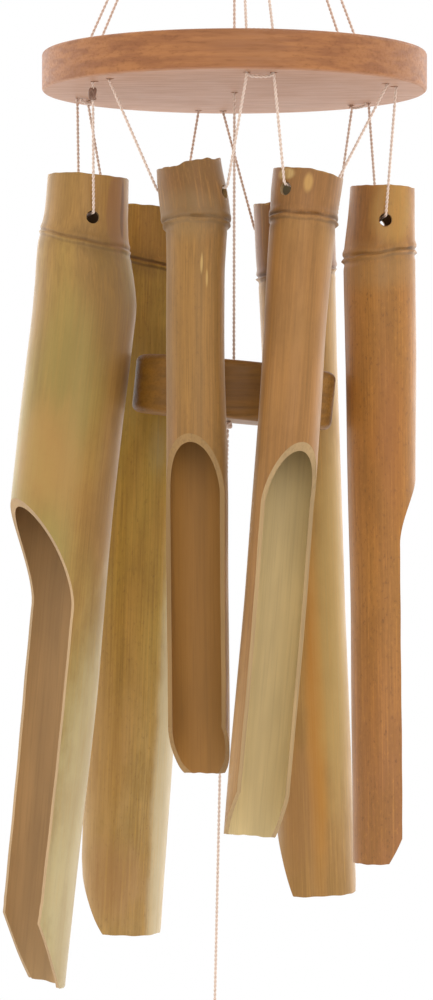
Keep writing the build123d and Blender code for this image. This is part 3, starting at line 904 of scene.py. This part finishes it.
class CHIME_OT_stage(bpy.types.Operator):
    """Camera, pale floor and soft studio light"""
    bl_idname = "chime.stage"
    bl_label = "Stage"

    def execute(self, context):
        settings = context.scene.chime
        scene = context.scene
        camera = bpy.data.cameras.new("camera")
        camera.sensor_fit = "VERTICAL"
        camera.sensor_height = 36.0
        camera.lens = 124.3
        eye = link("camera", camera)
        eye.location = (-0.007, -settings.camera_distance, -0.325)
        eye.rotation_euler = (pi / 2, 0, 0)
        scene.camera = eye
        scene.view_settings.view_transform = "Standard"
        floor_z = CAD_BOX[0][2] - settings.floor_drop
        grid = np.stack(np.meshgrid(np.linspace(-2.5, 2.5, 3), np.linspace(-2.5, 2.5, 3), indexing="ij"), -1)
        points = np.concatenate([grid, np.full(grid.shape[:2] + (1,), floor_z)], -1)
        surface = Surface()
        surface.add(points)
        floor = link("floor", surface.mesh("floor"))
        n = Nodes("floor_finish")
        grey = n.noise(n.scaled(n.add("ShaderNodeTexCoord").outputs["Object"], (2, 2, 2)))
        n.finish(n.mix(grey, (0.86, 0.86, 0.86), (0.9, 0.9, 0.9)), 0.9)
        floor.data.materials.append(n.material)
        world = bpy.data.worlds.new("studio")
        scene.world = world
        world.use_nodes = True
        tree = world.node_tree
        dim, plain = tree.nodes["Background"], tree.nodes.new("ShaderNodeBackground")
        place, split = tree.nodes.new("ShaderNodeTexCoord"), tree.nodes.new("ShaderNodeSeparateXYZ")
        behind = tree.nodes.new("ShaderNodeMapRange")
        for key, number in (("From Min", -0.4), ("From Max", 0.9), ("To Min", 0.85), ("To Max", 2.2)):
            behind.inputs[key].default_value = number
        dim.inputs["Color"].default_value = (1, 1, 1, 1)
        plain.inputs["Color"].default_value = (*settings.backdrop, 1)
        pick, seen = tree.nodes.new("ShaderNodeMixShader"), tree.nodes.new("ShaderNodeLightPath")
        for start, end in ((place.outputs["Generated"], split.inputs[0]),
                           (split.outputs["Y"], behind.inputs["Value"]),
                           (behind.outputs["Result"], dim.inputs["Strength"]),
                           (seen.outputs["Is Camera Ray"], pick.inputs[0]),
                           (dim.outputs[0], pick.inputs[1]), (plain.outputs[0], pick.inputs[2]),
                           (pick.outputs[0], tree.nodes["World Output"].inputs["Surface"])):
            tree.links.new(start, end)
        for name, place, turn, size, power in (
                ("key", (0.35, -1.6, 0.35), (68, 0, 12), 1.2, 6.5),
                ("back_left", (-1.3, 1.2, -0.2), (85, 0, 227), 1.4, 5.0),
                ("back_right", (1.3, 1.2, -0.2), (85, 0, 133), 1.4, 5.0)):
            light = bpy.data.lights.new(name, "AREA")
            light.shape = "SQUARE"
            light.size = size
            light.energy = power
            lamp = link(name, light)
            lamp.location = place
            lamp.rotation_euler = tuple(radians(a) for a in turn)
            lamp.visible_camera = False
        return {"FINISHED"}


class CHIME_OT_hangers(bpy.types.Operator):
    """Ring loop, hanger cords, stitches over the plate and the centre cord's upper part"""
    bl_idname = "chime.hangers"
    bl_label = "Hanger cords"

    def execute(self, context):
        wire = np.array((0, 0, -RING_MIDDLE))
        arc = [wire + LOOP_R * np.array((0, cos(a), sin(a))) for a in np.radians(np.linspace(180, 0, 9))]
        dress(twine("loop_bend", arc)[0], "ring_loop", "ring_loop")
        for name, side in (("front", -1), ("back", 1)):
            top = wire + (0, side * LOOP_R, 0)
            foot = np.array((0, side * 2.4 * CORD_R, LOOP_KNOT_Z))
            leg, _ = twine(f"loop_{name}", [top, (top + foot) / 2, foot])
            dress(leg, "loop_legs", f"loop_leg_{name}")
        middle = np.array((0, 0, LOOP_KNOT_Z))
        tied = wound("loop_tie", knot_line(middle, 1.9 * MM, 1.4 * MM), 1.0 * MM,
                     (1.6 * MM, 4.4 * MM, middle), material_twine())
        dress(tied, "loop_legs", "loop_knot")
        middle = np.array((0, 0, GATHER_Z))
        tied = wound("gather_whipping", whipping_line(middle, 3.3 * MM, 7.6 * MM, 8), 0.62 * MM,
                     (3.0 * MM, 8.8 * MM, middle), material_twine("cotton_whipping", (0.62, 0.43, 0.27)))
        dress(tied, "plate", "gather_knot")
        for name, index in (("front", 0), ("right", 2), ("left", 4)):
            piece, line = twine(f"hanger_{name}", hanger_route(index), phase=index)
            dress(piece, "plate", f"hanger_cord_{name}")
        for index in range(PAIR_COUNT):
            piece, _ = twine(f"stitch_{index + 1}", stitch_route(index), phase=index)
            dress(piece, "plate", f"top_stitch_{index + 1}")
        top, foot = np.array((0, 0, GATHER_Z)), np.array((0, 0, PLATE_BOTTOM))
        piece, line = twine("centre_upper", [top, (top + foot) / 2, foot])
        dress(piece, "plate", "centre_cord_upper")
        return {"FINISHED"}


class CHIME_OT_centre_cord(bpy.types.Operator):
    """Cord down the middle: to the striker, through it, and on to the sail"""
    bl_idname = "chime.centre_cord"
    bl_label = "Centre cord"

    def execute(self, context):
        plate = np.array((0, 0, PLATE_BOTTOM))
        tilt = np.array(((cos(STRIKER_TILT), 0, sin(STRIKER_TILT)), (0, 1, 0),
                         (-sin(STRIKER_TILT), 0, cos(STRIKER_TILT))))
        top = STRIKER_AT + tilt @ (STRIKER_HOLE_X, 0, STRIKER_HALF)
        foot = STRIKER_AT + tilt @ (STRIKER_HOLE_X, 0, -STRIKER_HALF)
        turn = toward(plate, top, BEND_LENGTH)
        down = (foot - top) / np.linalg.norm(foot - top)
        knot = foot + down * 1.6 * MM
        low = foot + down * 3.2 * MM
        sail_top = SAIL_KNOT_AT + (0, 0, 1.5 * MM)
        sail_turn = toward(low, sail_top, BEND_LENGTH)
        runs = (("striker_bend", plate, turn, "striker_bend", "striker_cord_bend"),
                ("striker_run", turn, top, "striker_line", "striker_cord"),
                ("striker_core", top, foot, "striker", "striker_core_cord"),
                ("sail_bend", low, sail_turn, "sail_bend", "sail_cord_bend"),
                ("sail_run", sail_turn, sail_top, "sail_line", "sail_cord"))
        made = {}
        for name, start, end, body, node in runs:
            made[name] = twine(name, [start, (start + end) / 2, end])
            dress(made[name][0], body, node)
        tied = wound("striker_tie", knot_line(knot, 1.25 * MM, 0.9 * MM), 0.62 * MM,
                     (1.1 * MM, 3.0 * MM, knot), material_twine())
        dress(tied, "striker", "striker_knot")
        sail_tie = wound("sail_tie", knot_line(SAIL_KNOT_AT, 1.2 * MM, 0.9 * MM, 1.0), 0.6 * MM,
                         (1.1 * MM, 2.8 * MM, SAIL_KNOT_AT), material_twine())
        dress(sail_tie, "sail_swivel", "sail_knot")
        hole = SAIL_KNOT_AT - (0, 0, SAIL_HOLE_BELOW)
        half = []
        for side in (-1, 1):
            reach = np.array((0, side * 3.5 * MM, 0))
            half.append([SAIL_KNOT_AT + reach * 0.23, SAIL_KNOT_AT + reach - (0, 0, 3.6 * MM), hole + reach])
        loop, _ = twine("sail_loop_twine", half[0] + half[1][::-1])
        dress(loop, "sail_swivel", "sail_loop")
        return {"FINISHED"}


class CHIME_OT_tube_cords(bpy.types.Operator):
    """The cord that each tube is slung on"""
    bl_idname = "chime.tube_cords"
    bl_label = "Tube cords"

    def execute(self, context):
        for tube in TUBES:
            piece, line = twine(f"sling_{tube.name}", tube_cord_route(tube), phase=tube.seed)
            dress(piece, f"cord_{tube.name}", f"tube_cord_{tube.name}")
        left = TUBES[0]
        hole = plate_hole(tube_pairs(left)[1], -1, CORD_SIDE, PLATE_BOTTOM - STRAND_GAP)
        middle = toward(hole, mouths(left)[1], 4.2 * MM)
        waxed = material_twine("cotton_waxed", (0.40, 0.23, 0.15), (0.22, 0.12, 0.08))
        tied = wound("tie", knot_line(middle, 1.2 * MM, 1.8 * MM, 0.7), 0.6 * MM,
                     (0.8 * MM, 4.9 * MM, middle), waxed)
        dress(tied, "cord_left", "tie_knot")
        return {"FINISHED"}


class CHIME_OT_tubes(bpy.types.Operator):
    """Six bamboo tubes"""
    bl_idname = "chime.tubes"
    bl_label = "Bamboo tubes"

    def execute(self, context):
        for tube in TUBES:
            piece = link(f"tube_{tube.name}", bamboo_surface(tube).mesh(f"tube_{tube.name}", merge=2e-6))
            for material in (material_skin(tube), material_inside(tube, cut=True), material_inside(tube)):
                piece.data.materials.append(material)
            cut_away(piece, hole_cutter(tube))
            dress(piece, f"tube_{tube.name}", f"bamboo_{tube.name}")
        return {"FINISHED"}


class CHIME_OT_wood(bpy.types.Operator):
    """Plate, striker, sail and ring finishes"""
    bl_idname = "chime.wood"
    bl_label = "Wood and ring"

    def execute(self, context):
        # painted light: the paler underside colour stands for light from below
        under = (PLATE_BOTTOM, (0.46, 0.225, 0.12))
        plate = material_wood("plate_finish", (0.39, 0.15, 0.042), (0.27, 0.094, 0.026), 130, under)
        repaint("top_plate", plate)
        repaint("striker", material_wood("striker_finish", (0.26, 0.11, 0.007), (0.17, 0.068, 0.004), 120))
        repaint("sail", material_wood("sail_finish", (0.42, 0.22, 0.10), (0.28, 0.13, 0.055), 120))
        repaint("hanging_ring", material_steel())
        return {"FINISHED"}


class CHIME_PT_panel(bpy.types.Panel):
    """The chime's steps and settings"""
    bl_idname = "CHIME_PT_panel"
    bl_label = "Wind chime"
    bl_space_type = "VIEW_3D"
    bl_region_type = "UI"
    bl_category = "Chime"

    def draw(self, context):
        for name in ChimeSettings.__annotations__:
            self.layout.prop(context.scene.chime, name)
        for step in STEPS:
            self.layout.operator(step.bl_idname)


STEPS = (CHIME_OT_stage, CHIME_OT_hangers, CHIME_OT_centre_cord, CHIME_OT_tube_cords, CHIME_OT_tubes,
         CHIME_OT_wood)
CLASSES = (ChimeSettings, *STEPS, CHIME_PT_panel)


def register():
    for cls in CLASSES:
        bpy.utils.register_class(cls)
    bpy.types.Scene.chime = PointerProperty(type=ChimeSettings)


def unregister():
    del bpy.types.Scene.chime
    for cls in reversed(CLASSES):
        bpy.utils.unregister_class(cls)


def main():
    register()
    bpy.ops.chime.stage()
    bpy.ops.chime.hangers()
    bpy.ops.chime.centre_cord()
    bpy.ops.chime.tube_cords()
    bpy.ops.chime.tubes()
    bpy.ops.chime.wood()
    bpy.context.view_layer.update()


if __name__ == "__main__":
    main()
